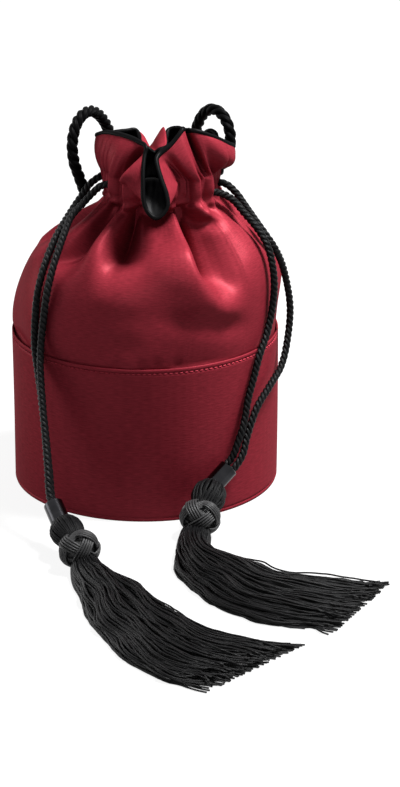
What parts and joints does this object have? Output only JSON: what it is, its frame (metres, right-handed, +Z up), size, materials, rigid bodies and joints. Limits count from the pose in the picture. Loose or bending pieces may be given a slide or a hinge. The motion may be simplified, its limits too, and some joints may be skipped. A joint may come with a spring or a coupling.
{
  "type": "drawstring pouch",
  "caption": "Round satin drawstring pouch with a stiff band, a gathered top, a bound ruffle mouth, tasselled drawcords and a short rope handle.",
  "frame": {"origin": "centre of the base's underside", "axes": "+Z up the pouch, -Y towards the front where the tassels lie, +X to the right seen from the front"},
  "size_m": [0.2209, 0.4145, 0.2381],
  "materials": {
    "wine_satin": "wine-red satin with a fine weave and a soft sheen",
    "black_lining": "black satin lining and bound edge",
    "black_cord": "black twisted three-strand cord",
    "black_yarn": "black twisted yarn, slightly wavy",
    "board": "plain grey stiffening board",
    "gunmetal": "polished dark plated metal"
  },
  "bodies": {
    "root": {"base_cover": "wine_satin", "base_board": "board", "band_cover": "wine_satin", "band_board": "board", "gathered_top": "wine_satin", "lining_floor": "black_lining", "lining_sleeve": "black_lining", "mouth_binding": "black_lining", "left_drawcord": "black_cord", "right_drawcord": "black_cord", "handle_rope": "black_cord", "left_ferrule": "gunmetal", "right_ferrule": "gunmetal", "left_tassel_head": "black_yarn", "right_tassel_head": "black_yarn", "left_tassel_knot": "black_yarn", "right_tassel_knot": "black_yarn", "left_tassel_skirt": "black_yarn", "right_tassel_skirt": "black_yarn"}
  },
  "joints": []
}
